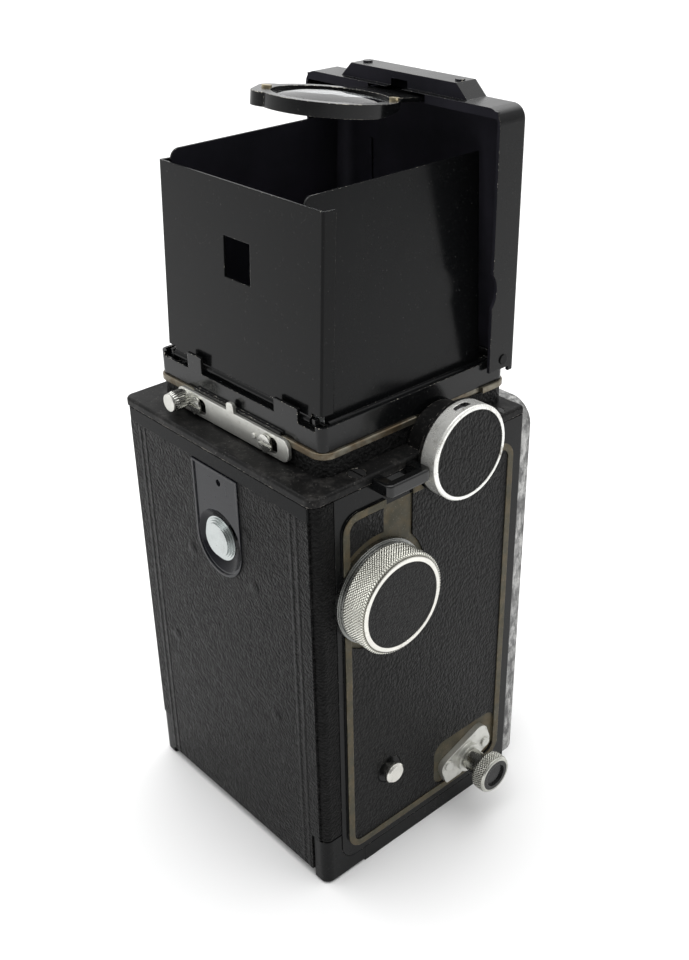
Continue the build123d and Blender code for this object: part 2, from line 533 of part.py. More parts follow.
for side in (-1, 1):
    lid -= rod_x(7.0, side * 32.0, side * 35.0, LID_REAR + 5.6, 151.5)
    lid -= block(side * 32.0, side * 35.0, -33.4, -20.0, LID_LOW - 1, 130.2)
    lid -= rod_x(1.0 + FIT, side * 32.0, side * 35.0, LID_PIN_Y, LID_PIN_Z)
    lug = block(side * 9.6, side * 10.6, LID_FRONT + 0.7, MAG_HINGE_Y + 1.0,
                MAG_HINGE_Z - 1.2, 196.8)
    lid += lug
lid -= rod_x(0.5 + FIT, -10.7, 10.7, MAG_HINGE_Y, MAG_HINGE_Z)
for x in (-17.5, 17.5):
    lid += block(x - 0.5, x + 0.5, LID_FRONT + 0.7, LID_FRONT + 1.3, 140, 178)
save("hood_lid", lid)
lid_pins = []
for side in (-1, 1):
    pin = rod_x(1.0, side * 31.95, side * 33.7, LID_PIN_Y, LID_PIN_Z)
    pin += rod_x(1.3, side * 33.65, side * 33.9, LID_PIN_Y, LID_PIN_Z)
    lid_pins.append(pin)
save("hood_pins", *hood_rods, *lid_pins)

# ---- magnifier: a ring with a deep rim, its free side leaning up ----
MAG_Y = -5.5
RIM_DEPTH = 3.2
frame_low, frame_top = MAG_HINGE_Z - 0.5, MAG_HINGE_Z + 0.5


def leaning(shape):
    return lean_about_x(shape, MAG_HINGE_Y, MAG_HINGE_Z, MAG_LEAN)


def mag_outline(grow, z0, z1):
    """The ring's outline: round, with one squarer end."""
    squarer = round_z(block(0, 17.6 + grow, -9.0 - grow, 9.0 + grow, z0, z1), 4.5)
    return rod_z(16.3 + grow, z0, z1, 0, MAG_Y) + Pos(0, MAG_Y, 0) * Rot(0, 0, 40) * squarer


frame = mag_outline(0, frame_low, frame_top)
rim = mag_outline(0, frame_top - RIM_DEPTH, frame_low + 0.1) - mag_outline(-0.9, 180, 200)
rim_foot = frame_top - RIM_DEPTH
rim -= lean_about_x(block(-40, 40, -90, MAG_Y, 150, rim_foot), MAG_Y, rim_foot, -8.0)
frame += rim
frame += block(-9.0, 9.0, MAG_HINGE_Y, MAG_Y, frame_low, frame_top)
frame += rod_z(14.7, frame_low - 1.2, frame_top, 0, MAG_Y)
frame += rod_x(0.95, -9.3, 9.3, MAG_HINGE_Y, MAG_HINGE_Z)
frame -= rod_z(13.7, 180, 200, 0, MAG_Y)
frame += rod_z(14.2, frame_low - 1.2, frame_low - 0.7, 0, MAG_Y) - rod_z(13.0, 180, 200, 0, MAG_Y)
frame = leaning(frame)
frame -= rod_x(0.5, -12, 12, MAG_HINGE_Y, MAG_HINGE_Z)
save("magnifier_frame", frame)
dome = Pos(0, MAG_Y, frame_top + 0.5 - 60.0) * Sphere(60.0)
glass = rod_z(13.6, frame_low - 0.65, frame_top + 2.0, 0, MAG_Y) & dome
save("magnifier_lens", leaning(glass))
mag_rivets = [rod_x(0.5, -10.6, 10.6, MAG_HINGE_Y, MAG_HINGE_Z)]
for x, y in ((11.4, MAG_Y + 9.5), (-11.4, MAG_Y - 9.5)):
    mag_rivets.append(leaning(rod_z(1.2, frame_top, frame_top + 0.6, x, y)))
save("magnifier_pin_and_rivets", *mag_rivets)

# ---- sliding latch on the rear of the collar ----
BAR_Y0, BAR_Y1 = 27.5, 28.5
THUMB_X, THUMB_Z = 18.8, 124.0
bar = round_y(block(-22.0, 22.0, BAR_Y0, BAR_Y1, BAR_Z - 2.9, BAR_Z + 2.9), 2.2)
tab = block(-1.3, 1.5, BAR_Y0, BAR_Y1, BAR_Z + 1.0, 128.9)
bar += fillet([e for e in tab.edges().filter_by(Axis.Y) if e.center().Z > 128], 1.2)
bar += rod_y(2.3, BAR_Y1 - 0.2, 33.6, THUMB_X, THUMB_Z)
SLIDE = 2.4
for x in (-14.1, 14.1):
    slot = block(x - SLIDE - 1.45, x + 1.45, 27, 29, BAR_Z - 2.0, BAR_Z + 2.0)
    bar -= round_y(slot, 1.4)
bar += rod_y(0.7, BAR_Y1 - 0.1, BAR_Y1 + 0.4, -9.3, BAR_Z)
save("hood_latch_bar", bar)
shoulders = []
for x in (-14.1, 14.1):
    screw = rod_y(1.35, COLLAR_REAR, BAR_Y1 + 0.1, x, BAR_Z)
    screw += rod_y(1.0, 24.6, COLLAR_REAR + 0.1, x, BAR_Z)
    screw += rod_y(2.3, BAR_Y1 + 0.08, BAR_Y1 + 0.9, x, BAR_Z)
    screw -= block(x - 2.6, x + 2.6, BAR_Y1 + 0.5, BAR_Y1 + 1.5, BAR_Z - 0.3, BAR_Z + 0.3)
    shoulders.append(screw)
save("cover_and_latch_screws", *screws, *shoulders)

# ---- front plate, trim and leather ----
TRIM_W = 1.5
front = round_y(block(-HALF_W + TRIM_W, HALF_W - TRIM_W, -37.3, FRONT_Y, 0.6 + TRIM_W, PLATE_TOP - TRIM_W), 5.0)
front -= rod_y(14.0, -40, -34, 0, TAKING_Z)
front -= rod_y(16.5, -40, -34, 0, VIEWING_Z)
for x, z in ROD_SPOTS:
    front -= rod_y(2.0 + FIT, -40, -34, x, z)
front += tube_y(16.0 - FIT, 14.0, -41.0, -37.2, 0, TAKING_Z)
save("front_plate", front)
trim = round_y(block(-HALF_W, HALF_W, -38.3, FRONT_Y, 0.6, PLATE_TOP), 6.5)
trim -= round_y(block(-HALF_W + TRIM_W, HALF_W - TRIM_W, -39, -34, 0.6 + TRIM_W, PLATE_TOP - TRIM_W), 5.0)
save("front_trim", trim)
skin = round_y(block(-HALF_W + 1.7, HALF_W - 1.7, -37.9, -37.3, 2.3, PLATE_TOP - 1.7), 4.8)
skin -= rod_y(22.3, -40, -34, 0, TAKING_Z)
skin -= rod_y(16.6, -40, -34, 0, VIEWING_Z)
skin -= block(-24, 24, -40, -36, 2, TAKING_Z - 10)
for x, z in ROD_SPOTS:
    skin -= rod_y(2.6, -40, -34, x, z)
save("front_leather", skin)

# ---- lens board: slides forward on four rods to focus ----
BOARD_REAR, BOARD_FRONT = -41.4, -43.2
board = round_y(block(-30.5, 30.5, BOARD_FRONT, BOARD_REAR, 17.0, 115.0), 7.0)
board -= rod_y(13.6, -45, -40, 0, TAKING_Z)
board -= rod_y(14.2, -45, -40, 0, VIEWING_Z)
for x, z in ROD_SPOTS:
    reach = -22.0 if z > 60 else -31.0
    board += rod_y(2.0, BOARD_REAR - 0.5, reach, x, z)
save("lens_board", board)
board_trim = round_y(block(-30.5, 30.5, -43.9, BOARD_FRONT, 17.0, 115.0), 7.0)
board_trim -= round_y(block(-29.3, 29.3, -45, -43, 18.2, 113.8), 5.8)
save("lens_board_trim", board_trim)
board_skin = round_y(block(-29.2, 29.2, -43.7, BOARD_FRONT, 18.3, 113.7), 5.7)
board_skin -= rod_y(20.6, -45, -43, 0, TAKING_Z)
board_skin -= rod_y(17.2, -45, -43, 0, VIEWING_Z)
save("lens_board_leather", board_skin)

# Viewing lens.
viewing = tube_y(17.0, 13.0, -52.0, BOARD_FRONT, 0, VIEWING_Z)
viewing += tube_y(15.5, 13.0, -56.0, -51.9, 0, VIEWING_Z)
viewing += tube_y(16.6, 14.6, -57.2, -56.0, 0, VIEWING_Z)


def lens_glass(r, y_rear, y_front, z):
    body = rod_y(r, y_front, y_rear, 0, z)
    sphere = Pos(0, y_front + 34.0, z) * Sphere(34.0)
    return body & sphere



# Leaf shutter with its rings and levers round the taking lens.
shutter = tube_y(20.0, 13.2, -50.5, BOARD_FRONT, 0, TAKING_Z)
shutter = fillet(shutter.faces().sort_by(Axis.Y)[0].outer_wire().edges(), 1.0)
save("shutter_housing", shutter)
speed = tube_y(18.6, 14.6 + FIT, -53.6, -50.9, 0, TAKING_Z)
save("speed_ring", speed)
taking = tube_y(14.6, 11.2, -54.8, -50.5, 0, TAKING_Z)
taking += tube_y(13.1, 11.2, -50.6, -44.0, 0, TAKING_Z)
taking += tube_y(15.6, 12.4, -56.4, -54.2, 0, TAKING_Z)
save("lens_barrels", viewing, taking)
save("lens_glasses", lens_glass(12.95, -48.0, -54.6, VIEWING_Z),
     lens_glass(11.15, -47.0, -54.2, TAKING_Z))


def shutter_lever(angle, inner, outer, y_rear, y_front, tip):
    """A radial lever that leaves the shutter's rim through a slot of air."""
    arm = block(inner, outer, y_front, y_rear, TAKING_Z - 0.9, TAKING_Z + 0.9)
    arm += rod_y(tip, y_front - 1.2, y_rear, outer, TAKING_Z)
    return Pos(0, 0, TAKING_Z) * Rot(0, -angle, 0) * Pos(0, 0, -TAKING_Z) * arm


# Each lever rides on its own thin ring behind the next, clear of the housing.
lever_ring_1 = tube_y(22.3, 20.0 + FIT, -44.9, -43.85, 0, TAKING_Z)
aperture = lever_ring_1 + shutter_lever(200, 21.0, 25.5, -43.85, -44.9, 1.5)
save("aperture_lever", aperture)
lever_ring_2 = tube_y(22.0, 20.0 + FIT, -46.4, -45.2, 0, TAKING_Z)
cocking = lever_ring_2 + shutter_lever(60, 21.0, 26.5, -45.2, -46.4, 1.7)
save("cocking_lever", cocking)
lever_ring_3 = tube_y(21.6, 20.0 + FIT, -47.9, -46.7, 0, TAKING_Z)
release = lever_ring_3 + shutter_lever(-35, 20.8, 27.5, -46.7, -47.9, 1.9)
save("release_lever", release)

# Focusing lever: a ring behind the board, its arm reaching out below it.
FOCUS_REST = 25.0
focus = tube_y(24.0, 16.0, -40.6, -38.6, 0, TAKING_Z)
arm = block(-2.6, 2.6, -40.6, -38.6, 10.0, TAKING_Z - 20.0)
arm += rod_y(3.6, -40.6, -38.6, 0, 10.5)
focus += Pos(0, 0, TAKING_Z) * Rot(0, FOCUS_REST, 0) * Pos(0, 0, -TAKING_Z) * arm
save("focus_lever", focus)
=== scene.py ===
"""Looks for the twin lens reflex camera: finishes, knurled bands, floor, light and camera.

Everything is in metres in the part's frame: X across, minus Y is the lens side, Z up.
"""

import math

import bpy
from mathutils import Matrix, Vector


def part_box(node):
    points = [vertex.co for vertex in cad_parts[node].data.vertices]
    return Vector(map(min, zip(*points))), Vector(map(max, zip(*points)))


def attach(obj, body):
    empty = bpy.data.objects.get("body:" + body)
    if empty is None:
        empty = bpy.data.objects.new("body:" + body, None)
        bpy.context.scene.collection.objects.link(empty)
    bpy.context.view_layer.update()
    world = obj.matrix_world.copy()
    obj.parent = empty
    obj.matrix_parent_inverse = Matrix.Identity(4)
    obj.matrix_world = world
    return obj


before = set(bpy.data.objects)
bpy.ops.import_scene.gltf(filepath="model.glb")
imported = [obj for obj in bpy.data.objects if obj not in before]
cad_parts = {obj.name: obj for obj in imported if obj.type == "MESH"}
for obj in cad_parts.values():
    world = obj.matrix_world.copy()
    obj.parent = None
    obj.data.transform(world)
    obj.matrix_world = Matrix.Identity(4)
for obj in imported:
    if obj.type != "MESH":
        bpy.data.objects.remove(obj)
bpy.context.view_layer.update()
MM = 0.001


# ---------------------------------------------------------------- material graphs


class Nodes:
    """A node tree, with short calls that add a node and link it."""

    def __init__(self, tree):
        self.tree = tree

    def feed(self, target, value):
        """Links a socket to the target, or sets the target to a plain value."""
        if isinstance(value, bpy.types.NodeSocket):
            self.tree.links.new(value, target)
        else:
            target.default_value = value

    def node(self, kind, inputs=None, **settings):
        """Adds a node, feeds its inputs by name or number, and sets its properties."""
        made = self.tree.nodes.new("ShaderNode" + kind)
        for key, value in settings.items():
            setattr(made, key, value)
        for key, value in (inputs or {}).items():
            self.feed(made.inputs[key], value)
        return made

    def math(self, kind, a, b=0.0):
        """The result of one operation of the Math node on a and b."""
        return self.node("Math", {0: a, 1: b}, operation=kind).outputs[0]

    def ramp(self, value, low, high, out_low=0.0, out_high=1.0):
        """Goes smoothly from out_low to out_high as value goes from low to high."""
        values = {"Value": value, "From Min": low, "From Max": high}
        values.update({"To Min": out_low, "To Max": out_high})
        return self.node("MapRange", values, interpolation_type="SMOOTHSTEP").outputs[0]


class Graph(Nodes):
    """One material's node graph, with the patterns and masks that the finishes use."""

    def __init__(self, name):
        self.material = bpy.data.materials.new(name)
        self.material.use_nodes = True
        super().__init__(self.material.node_tree)
        self.shader = next(n for n in self.tree.nodes if n.type == "BSDF_PRINCIPLED")
        self.place = self.node("TexCoord").outputs["Object"]

    def turned(self, angles, scale=(1, 1, 1)):
        """The place on the object, turned and stretched, for a pattern that runs at a slant."""
        turn = tuple(math.radians(a) for a in angles)
        made = self.node("Mapping", {"Vector": self.place, "Rotation": turn, "Scale": scale})
        return made.outputs[0]

    def noise(self, scale, detail=3.0, rough=0.55, at=None, warp=0.0):
        """Noise from 0 to 1, about scale lumps to the metre."""
        values = {"Vector": at or self.place, "Scale": scale, "Detail": detail}
        values.update({"Roughness": rough, "Distortion": warp})
        return self.node("TexNoise", values).outputs[0]

    def cells(self, scale, at=None, smooth=0.35):
        """Distance from the middle of the nearest cell, about scale cells to the metre."""
        values = {"Vector": at or self.place, "Scale": scale, "Smoothness": smooth}
        return self.node("TexVoronoi", values, feature="SMOOTH_F1").outputs["Distance"]

    def mix(self, share, a, b):
        """The colour a where share is 0 and b where it is 1."""
        made = self.node("Mix", data_type="RGBA")
        self.feed(made.inputs[0], share)
        self.feed(made.inputs[6], a)
        self.feed(made.inputs[7], b)
        return made.outputs[2]

    def between(self, share, a, b):
        """A number that goes from a to b as share goes from 0 to 1."""
        first = self.math("MULTIPLY", self.math("SUBTRACT", 1.0, share), a)
        return self.math("ADD", self.math("MULTIPLY", share, b), first)

    def edges(self, radius, low, high):
        """0 on flat faces, rising to 1 along sharp edges within radius metres."""
        soft = self.soft_corners(radius)
        plain = self.node("NewGeometry").outputs["Normal"]
        same = self.node("VectorMath", {0: soft, 1: plain}, operation="DOT_PRODUCT")
        return self.ramp(self.math("SUBTRACT", 1.0, same.outputs["Value"]), low, high)

    def axis(self, letter):
        """The coordinate X, Y or Z of the place on the object."""
        return self.node("SeparateXYZ", {0: self.place}).outputs[letter]

    def bump(self, height, distance, strength=1.0, over=None):
        """A normal that makes height stand out by distance metres, on top of the normal over."""
        values = {"Height": height, "Distance": distance, "Strength": strength}
        if over is not None:
            values["Normal"] = over
        return self.node("Bump", values).outputs[0]

    def soft_corners(self, radius):
        """A normal that rounds sharp edges, so that they catch the light."""
        return self.node("Bevel", {"Radius": radius}, samples=6).outputs[0]

    def from_axis(self, centre, along="X"):
        """Distance from a line along X or Y through centre."""
        keep = (0.0, 1.0, 1.0) if along == "X" else (1.0, 0.0, 1.0)
        flat = self.node("VectorMath", {0: self.place, 1: keep}, operation="MULTIPLY").outputs[0]
        axis = tuple(c * k for c, k in zip(centre, keep))
        return self.node("VectorMath", {0: flat, 1: axis}, operation="DISTANCE").outputs["Value"]

    def within(self, letter, low, high):
        """1 where a coordinate lies between low and high, else 0."""
        value = self.axis(letter)
        above = self.math("GREATER_THAN", value, low)
        return self.math("MULTIPLY", above, self.math("LESS_THAN", value, high))

    def finish(self, colour=None, metallic=None, roughness=None, normal=None, shine=None):
        """Feeds the shader with what is given, and returns the material."""
        for name, value in (("Base Color", colour), ("Metallic", metallic),
                            ("Roughness", roughness), ("Normal", normal),
                            ("Specular IOR Level", shine)):
            if value is not None:
                self.feed(self.shader.inputs[name], value)
        return self.material


CHIPPED = (0.58, 0.55, 0.48, 1)
RUBBED_EDGE = (0.42, 0.39, 0.34, 1)
GRIME = (0.16, 0.135, 0.09, 1)
# Painted shade for the roots of knurled teeth.
GROOVE_SHADE = (0.06, 0.055, 0.035, 1)


def middle(node):
    """The middle of a node's box."""
    low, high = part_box(node)
    return (low + high) / 2


def grey(level, warm=0.0):
    """A grey of that level, a little yellower for a positive warm and bluer for a negative one."""
    return (level * (1 + warm), level, level * (1 - warm), 1.0)


def gloss_layers(g, level, rough, chips, chip_width, dusty=0.35):
    """Black enamel: colour, metal share, roughness and normal for a graph.

    Edges are chipped where a noise is above chips, within chip_width millimetres. dusty is how
    strongly settled dust shows.
    """
    flecks = g.noise(1500, 3, 0.7)
    edge = g.edges(chip_width * MM, 0.02, 0.16)
    worn = g.ramp(g.math("MULTIPLY", edge, g.ramp(flecks, chips, chips + 0.09)), 0.35, 0.75)
    dust = g.ramp(g.noise(260, 6, 0.75), 0.52, 0.8)
    specks = g.ramp(g.noise(1900, 2, 0.5), 0.70, 0.74)
    paint = g.mix(g.math("MULTIPLY", dust, dusty), grey(level, -0.07), grey(level * 2.8, 0.02))
    paint = g.mix(g.math("MULTIPLY", specks, 0.25), paint, grey(0.13, 0.03))
    colour = g.mix(worn, paint, CHIPPED)
    smear = g.ramp(g.noise(45, 4, 0.6, warp=0.4), 0.3, 0.75, rough, rough + 0.12)
    roughness = g.math("ADD", smear, g.math("MULTIPLY", dust, 0.1))
    peel = g.bump(g.noise(420, 2, 0.4), 0.02 * MM, 0.2, over=g.soft_corners(0.25 * MM))
    normal = g.bump(worn, -0.03 * MM, 0.5, over=peel)
    return colour, worn, roughness, normal


def gloss_paint(name, level=0.0035, rough=0.13, chips=0.57, chip_width=0.22, shine=0.12,
                dusty=0.35, inward=None, top_shine=None):
    """Black enamel all over a node.

    inward is the direction that a hood sheet's inner face looks; that face is dull.
    top_shine is the shine of the faces that look up, where it differs from the others.
    """
    g = Graph(name)
    colour, worn, roughness, normal = gloss_layers(g, level, rough, chips, chip_width, dusty)
    face = g.node("TexCoord").outputs["Normal"]
    if top_shine:
        up = g.node("SeparateXYZ", {0: face}).outputs["Z"]
        shine = g.ramp(up, 0.6, 0.9, shine, top_shine)
    if inward:
        same = g.node("VectorMath", {0: face, 1: inward}, operation="DOT_PRODUCT")
        inner = g.ramp(same.outputs["Value"], 0.5, 0.7)
        flat = g.mix(g.ramp(g.noise(60, 5, 0.6), 0.3, 0.7), (0.016, 0.016, 0.020, 1),
                     (0.023, 0.022, 0.029, 1))
        colour = g.mix(inner, colour, flat)
        worn = g.math("MULTIPLY", worn, g.math("SUBTRACT", 1.0, inner))
        roughness = g.math("ADD", roughness, g.math("MULTIPLY", inner, 0.3))
        shine = g.ramp(inner, 0.0, 1.0, shine, 0.03)
    return g.finish(colour, worn, roughness, normal, shine)


def banded_paint(name, top):
    """Bluish gloss on the door's escutcheon; duller on the band above top, beside the plate."""
    g = Graph(name)
    colour, worn, roughness, normal = gloss_layers(g, level=0.006, rough=0.16, chips=0.57,
                                                   chip_width=0.22)
    tinted = g.mix(0.5, colour, (0.004, 0.005, 0.011, 1))
    above = g.math("GREATER_THAN", g.axis("Z"), top)
    shine = g.ramp(above, 0.0, 1.0, 0.26, 0.06)
    return g.finish(g.mix(above, tinted, colour), worn, roughness, normal, shine)


def dull_paint(name, level=0.008, rough=0.42, dust_level=0.035, chips=0.58, shine=0.2, dusty=0.6):
    """Black paint gone matte, with settled dust and light flecks along its edges.

    Edges are rubbed where a noise is above chips. dust_level is the grey of the dust, and dusty is
    how strongly the dust shows.
    """
    g = Graph(name)
    dust = g.ramp(g.noise(190, 8, 0.8), 0.47, 0.78)
    specks = g.ramp(g.noise(2000, 3, 0.7), 0.64, 0.70)
    edge = g.edges(0.3 * MM, 0.015, 0.12)
    worn = g.math("MULTIPLY", edge, g.ramp(g.noise(900, 4, 0.75), chips, chips + 0.1))
    paint = g.mix(g.math("MULTIPLY", dust, dusty), grey(level), grey(dust_level, 0.06))
    paint = g.mix(g.math("MULTIPLY", specks, 0.6 * dusty), paint, grey(0.2, 0.05))
    colour = g.mix(worn, paint, RUBBED_EDGE)
    roughness = g.ramp(g.noise(70, 5, 0.65), 0.3, 0.75, rough - 0.08, rough + 0.14)
    normal = g.bump(g.noise(900, 5, 0.65), 0.03 * MM, 0.35, over=g.soft_corners(0.3 * MM))
    return g.finish(colour, g.math("MULTIPLY", worn, 0.7), roughness, normal, shine)


def leather_grain(g, turn, long, size, deep, level):
    """Pebbles stretched along a slant: colour with painted shade in the hollows, roughness and
    normal.

    turn is the slant in degrees, and a long below 1 stretches the pebbles along it. size is the
    number of pebbles to the metre, deep their relief in millimetres and level their grey.
    """
    slant = g.turned(turn, (1.0, 1.0, long))
    stray = g.node("TexNoise", {"Vector": g.place, "Scale": 420}).outputs["Color"]
    shift = g.node("VectorMath", {0: stray, "Scale": 0.0015}, operation="SCALE").outputs[0]
    sway = g.node("VectorMath", {0: slant, 1: shift}, operation="ADD").outputs[0]
    pebble = g.cells(size, at=sway, smooth=0.25)
    crease = g.noise(size * 1.3, 4, 0.65, at=sway)
    height = g.math("ADD", g.math("MULTIPLY", pebble, -1.1), g.math("MULTIPLY", crease, 0.9))
    # Painted shade: the colour darkens in the hollows between the pebbles.
    hollow_shade = g.ramp(height, 0.05, -0.45)
    rubbed = g.math("MULTIPLY", g.ramp(g.noise(120, 5, 0.65), 0.42, 0.7), 0.6)
    top = g.mix(rubbed, grey(level, 0.0), grey(level * 2.0, 0.02))
    colour = g.mix(hollow_shade, top, grey(level * 0.3))
    roughness = g.ramp(g.noise(700, 4, 0.7), 0.3, 0.7, 0.36, 0.52)
    return colour, roughness, g.bump(height, deep * MM, 1.0)


def plain_leather(name, level=0.004, turn=(0, 42, 0), long=0.7, size=1350, deep=0.32, shine=0.15):
    """Leatherette with the grain of leather_grain and nothing else."""
    g = Graph(name)
    colour, roughness, normal = leather_grain(g, turn, long, size, deep, level)
    return g.finish(colour, 0.0, roughness, normal, shine)


# On the door: how many millimetres its creases lie inside both edges, and its small lumps, each as
# shares of the width from the high X edge and of the height from the foot.
CREASES = (4.2, 6.4)
LUMPS = ((0.335, 0.74), (0.668, 0.876), (0.168, 0.43), (0.70, 0.747), (0.785, 0.41))


def creased_leather(name, low, high):
    """The door's covering: long upright creases beside both edges and a few small lumps, raised in
    the normal and darkened with painted shade.
    """
    g = Graph(name)
    colour, roughness, grain = leather_grain(g, turn=(0, 38, 0), long=1.0, size=1400, deep=0.38,
                                             level=0.0045)
    fold_height_and_shade = 0.0
    for inset in CREASES:
        for crease_x in (low.x + inset * MM, high.x - inset * MM):
            away = g.math("ABSOLUTE", g.math("SUBTRACT", g.axis("X"), crease_x))
            fold_height_and_shade = g.math("ADD", fold_height_and_shade, g.ramp(away, 0.0, 0.9 * MM, 0.6, 0.0))
    for share, rise in LUMPS:
        spot = (high.x - share * (high.x - low.x), high.y, low.z + rise * (high.z - low.z))
        away = g.node("VectorMath", {0: g.place, 1: spot}, operation="DISTANCE").outputs["Value"]
        fold_height_and_shade = g.math("ADD", fold_height_and_shade, g.ramp(away, 0.6 * MM, 2.4 * MM, 1.0, 0.0))
    normal = g.bump(fold_height_and_shade, 0.6 * MM, 1.0, over=grain)
    # Painted shade: the colour darkens in the creases and on the lumps, by half their height.
    shaded = g.mix(g.math("MULTIPLY", fold_height_and_shade, 0.5), colour, grey(0.001))
    return g.finish(shaded, 0.0, roughness, normal, 0.14)


def plated_layers(g, colour, rough, dirt, edge=0.3):
    """Nickel plating with hazy patches, fine scratches and grime in its grain.

    dirt is how strongly the grime shows and edge the rounding of edges, in millimetres.
    """
    haze = g.ramp(g.noise(120, 6, 0.7), 0.35, 0.75)
    fine = g.noise(1600, 4, 0.7)
    stain = g.ramp(g.noise(330, 7, 0.75), 0.54, 0.72)
    base = g.mix(haze, (*colour, 1), (*[c * 0.82 for c in colour], 1))
    shade = g.mix(g.math("MULTIPLY", stain, dirt), base, GRIME)
    scratch = g.noise(500, 2, 0.5, at=g.turned((20, 35, 10), (1, 9, 1)))
    roughness = g.math("ADD", g.ramp(haze, 0, 1, rough - 0.05, rough + 0.10),
                       g.math("MULTIPLY", stain, 0.2))
    height = g.math("ADD", g.math("MULTIPLY", fine, 0.5), g.math("MULTIPLY", scratch, 0.5))
    normal = g.bump(height, 0.012 * MM, 0.3, over=g.soft_corners(edge * MM))
    return shade, roughness, normal


def plated(name, colour=(0.76, 0.75, 0.70), rough=0.18, dirt=0.35, metal=1.0, edge=0.3):
    """Nickel plating all over a node."""
    g = Graph(name)
    shade, roughness, normal = plated_layers(g, colour, rough, dirt, edge)
    return g.finish(shade, metal, roughness, normal)


def plated_knurl(name, node, radius, deep, colour=(0.93, 0.93, 0.85), taper=0.0):
    """Plating with painted shade in its grooves: darkened by nearness to the axis of a band round
    X.

    radius is where the teeth have their roots and deep is their height. Over the first taper
    metres of the node the band narrows, and the grooves with it.
    """
    g = Graph(name)
    shade, roughness, normal = plated_layers(g, colour, rough=0.22, dirt=0.4)
    away = g.from_axis(middle(node))
    if taper:
        nearer = g.math("SUBTRACT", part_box(node)[0].x + taper, g.axis("X"))
        away = g.math("ADD", away, g.math("MAXIMUM", nearer, 0.0))
    # Painted shade: the colour darkens towards the roots of the teeth.
    root_shade = g.ramp(away, radius + 0.05 * deep, radius + 0.6 * deep, 1.0, 0.0)
    return g.finish(g.mix(root_shade, shade, GROOVE_SHADE), 1.0, roughness, normal)


def dark_faced(name, node, radius, depth):
    """Plating whose sunk end face, inside a radius, is filled with black paint."""
    g = Graph(name)
    shade, roughness, normal = plated_layers(g, (0.5, 0.5, 0.46), rough=0.25, dirt=0.5)
    disc = g.math("LESS_THAN", g.from_axis(middle(node)), radius)
    sunk = g.math("LESS_THAN", g.axis("X"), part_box(node)[0].x + depth)
    face = g.math("MULTIPLY", disc, sunk)
    colour = g.mix(face, shade, grey(0.012))
    return g.finish(colour, g.math("SUBTRACT", 1.0, face), roughness, normal, 0.2)


def drum_plating(name, node):
    """Worn plating on the counter's drum, black inside its window."""
    g = Graph(name)
    shade, roughness, normal = plated_layers(g, (0.92, 0.92, 0.88), rough=0.28, dirt=0.9)
    low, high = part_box(node)
    radius = (high.z - low.z) / 2
    below_rim = g.math("LESS_THAN", g.from_axis(middle(node)), radius - 0.12 * MM)
    behind_face = g.math("GREATER_THAN", g.axis("X"), low.x + 1.2 * MM)
    sunk = g.math("MULTIPLY", below_rim, behind_face)
    colour = g.mix(sunk, shade, grey(0.004))
    metal = g.ramp(sunk, 0.0, 1.0, 0.6, 0.0)
    return g.finish(colour, metal, roughness, normal)


def barrel_finish(name, axes):
    """Nickel lens mounts, black inside; axes are (centre, inner radius) of each lens."""
    g = Graph(name)
    shade, roughness, normal = plated_layers(g, (0.62, 0.62, 0.58), rough=0.22, dirt=0.4)
    dark = 0.0
    for centre, radius in axes:
        dark = g.math("MAXIMUM", dark, g.math("LESS_THAN", g.from_axis(centre, "Y"), radius))
    colour = g.mix(dark, shade, grey(0.008))
    return g.finish(colour, g.math("SUBTRACT", 1.0, dark), roughness, normal, 0.2)


def glass_graph(name, ior):
    """A graph whose shader lets all light through."""
    g = Graph(name)
    g.shader.inputs["Transmission Weight"].default_value = 1.0
    g.shader.inputs["IOR"].default_value = ior
    return g


def coated_glass(name):
    """Lens glass over a dark interior, with a faint violet reflection."""
    g = glass_graph(name, ior=1.6)
    g.shader.inputs["Coat Weight"].default_value = 0.6
    g.shader.inputs["Coat Tint"].default_value = (0.72, 0.74, 1.0, 1)
    return g.finish((0.42, 0.42, 0.50, 1), 0.0, 0.0)


def screw_finish(name, rear):
    """Nickel screws; those in front of rear are painted over with the plate they hold."""
    g = Graph(name)
    shade, roughness, normal = plated_layers(g, (0.66, 0.66, 0.62), rough=0.2, dirt=0.4, edge=0.06)
    painted = g.math("LESS_THAN", g.axis("Y"), rear)
    colour = g.mix(painted, shade, grey(0.02))
    return g.finish(colour, g.math("SUBTRACT", 1.0, painted), roughness, normal, 0.2)


def stained_trim(name):
    """A plated strip, tarnished in long streaks that run up it."""
    g = Graph(name)
    streak = g.noise(560, 7, 0.75, at=g.turned((0, 0, 0), (1.0, 1.0, 0.4)))
    stain = g.ramp(streak, 0.34, 0.58)
    patch = g.ramp(g.noise(160, 5, 0.7), 0.3, 0.6, 0.45, 1.0)
    colour = g.mix(g.math("MULTIPLY", stain, patch), (0.42, 0.42, 0.41, 1), (0.10, 0.10, 0.10, 1))
    roughness = g.ramp(stain, 0.0, 1.0, 0.22, 0.45)
    normal = g.bump(streak, 0.02 * MM, 0.4, over=g.soft_corners(0.3 * MM))
    return g.finish(colour, 0.92, roughness, normal)


